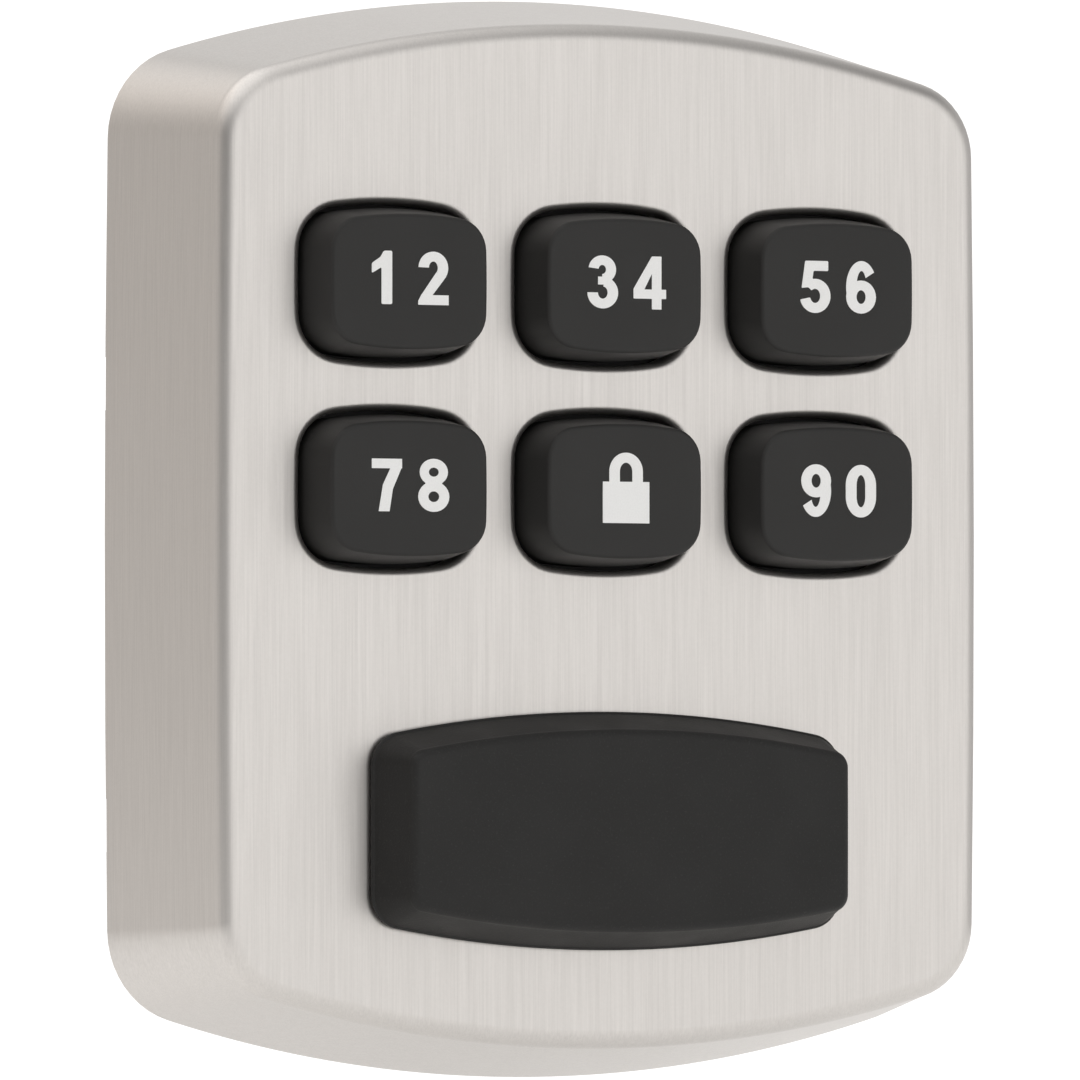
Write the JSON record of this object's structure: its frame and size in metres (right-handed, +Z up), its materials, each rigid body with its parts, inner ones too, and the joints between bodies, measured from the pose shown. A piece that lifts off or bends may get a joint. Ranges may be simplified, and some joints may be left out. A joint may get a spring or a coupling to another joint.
{
  "type": "keypad smart lock",
  "caption": "Outdoor keypad unit of an electronic deadbolt: arched brushed housing, rubber keys in two rows, a swinging rubber cover over the key cylinder, and a torque blade behind.",
  "frame": {"origin": "on the door's outside face, on the axis of the door's cross bore, midway between the two threaded posts", "axes": "+X to the right as seen from outside, +Y into the door along the cross bore, +Z up"},
  "size_m": [0.072, 0.0736, 0.082],
  "materials": {
    "satin_nickel": "fine vertical brushing under a satin nickel plate",
    "key_rubber": "matte moulded silicone",
    "cover_rubber": "matte rubber with a fine grain",
    "seal_rubber": "soft black seal",
    "black_plastic": "moulded",
    "ivory_plastic": "moulded",
    "board_laminate": "green solder mask",
    "led_resin": "clear resin with phosphor",
    "chip_resin": "moulded epoxy",
    "zinc_plated_steel": "bright zinc plate",
    "cast_zinc": "as cast, light tumble",
    "steel": "machined",
    "spring_steel": "blackened",
    "nickel_plated_brass": "turned, satin nickel plate",
    "brass": "machined"
  },
  "bodies": {
    "lock_body": {"housing": "satin_nickel", "keypad_seal": "seal_rubber", "key_guide": "black_plastic", "circuit_board": "board_laminate", "tact_switches": "black_plastic", "backlight_leds": "led_resin", "controller_chip": "chip_resin", "buzzer": "black_plastic", "cable_socket": "ivory_plastic", "board_screws": "zinc_plated_steel", "back_plate": "cast_zinc", "plate_screws": "zinc_plated_steel", "door_gasket": "seal_rubber", "mounting_posts": "zinc_plated_steel", "cylinder_shell": "nickel_plated_brass", "cylinder_screws": "zinc_plated_steel", "driver_pins": "steel", "pin_springs": "steel", "spring_cap": "brass", "cover_pivot": "steel", "gear_cover": "cast_zinc", "gear_cover_screws": "zinc_plated_steel"},
    "button_12": {"key_12": "key_rubber", "plunger_12": "ivory_plastic"},
    "button_34": {"key_34": "key_rubber", "plunger_34": "ivory_plastic"},
    "button_56": {"key_56": "key_rubber", "plunger_56": "ivory_plastic"},
    "button_78": {"key_78": "key_rubber", "plunger_78": "ivory_plastic"},
    "button_lock": {"key_lock": "key_rubber", "plunger_lock": "ivory_plastic"},
    "button_90": {"key_90": "key_rubber", "plunger_90": "ivory_plastic"},
    "plug": {"cylinder_plug": "nickel_plated_brass", "key_pins": "brass", "plug_gear": "steel", "plug_screw": "zinc_plated_steel"},
    "blade": {"output_gear": "steel", "torque_blade": "steel", "output_clip": "spring_steel"},
    "cover": {"key_cover": "cover_rubber"}
  },
  "joints": [
    {"name": "press_12", "type": "slide", "parent": "lock_body", "child": "button_12", "axis": [0, 1, 0], "range_m": [0, 0.0008], "stiffness_N_per_m": 1000, "springref_m": -0.0006},
    {"name": "press_34", "type": "slide", "parent": "lock_body", "child": "button_34", "axis": [0, 1, 0], "range_m": [0, 0.0008], "stiffness_N_per_m": 1000, "springref_m": -0.0006},
    {"name": "press_56", "type": "slide", "parent": "lock_body", "child": "button_56", "axis": [0, 1, 0], "range_m": [0, 0.0008], "stiffness_N_per_m": 1000, "springref_m": -0.0006},
    {"name": "press_78", "type": "slide", "parent": "lock_body", "child": "button_78", "axis": [0, 1, 0], "range_m": [0, 0.0008], "stiffness_N_per_m": 1000, "springref_m": -0.0006},
    {"name": "press_lock", "type": "slide", "parent": "lock_body", "child": "button_lock", "axis": [0, 1, 0], "range_m": [0, 0.0008], "stiffness_N_per_m": 1000, "springref_m": -0.0006},
    {"name": "press_90", "type": "slide", "parent": "lock_body", "child": "button_90", "axis": [0, 1, 0], "range_m": [0, 0.0008], "stiffness_N_per_m": 1000, "springref_m": -0.0006},
    {"name": "plug_turn", "type": "hinge", "parent": "lock_body", "child": "plug", "pos_m": [0, 0, -0.0126], "axis": [0, 1, 0], "range_deg": [-90, 90]},
    {"name": "blade_turn", "type": "hinge", "parent": "lock_body", "child": "blade", "pos_m": [0, 0, 0], "axis": [0, 1, 0], "range_deg": [-90, 90]},
    {"name": "cover_swing", "type": "hinge", "parent": "lock_body", "child": "cover", "pos_m": [-0.0156, -0.015, -0.0126], "axis": [0, 1, 0], "range_deg": [0, 120]}
  ],
  "couplings": [
    {"joint": "blade_turn", "follows": "plug_turn", "ratio": -1}
  ]
}
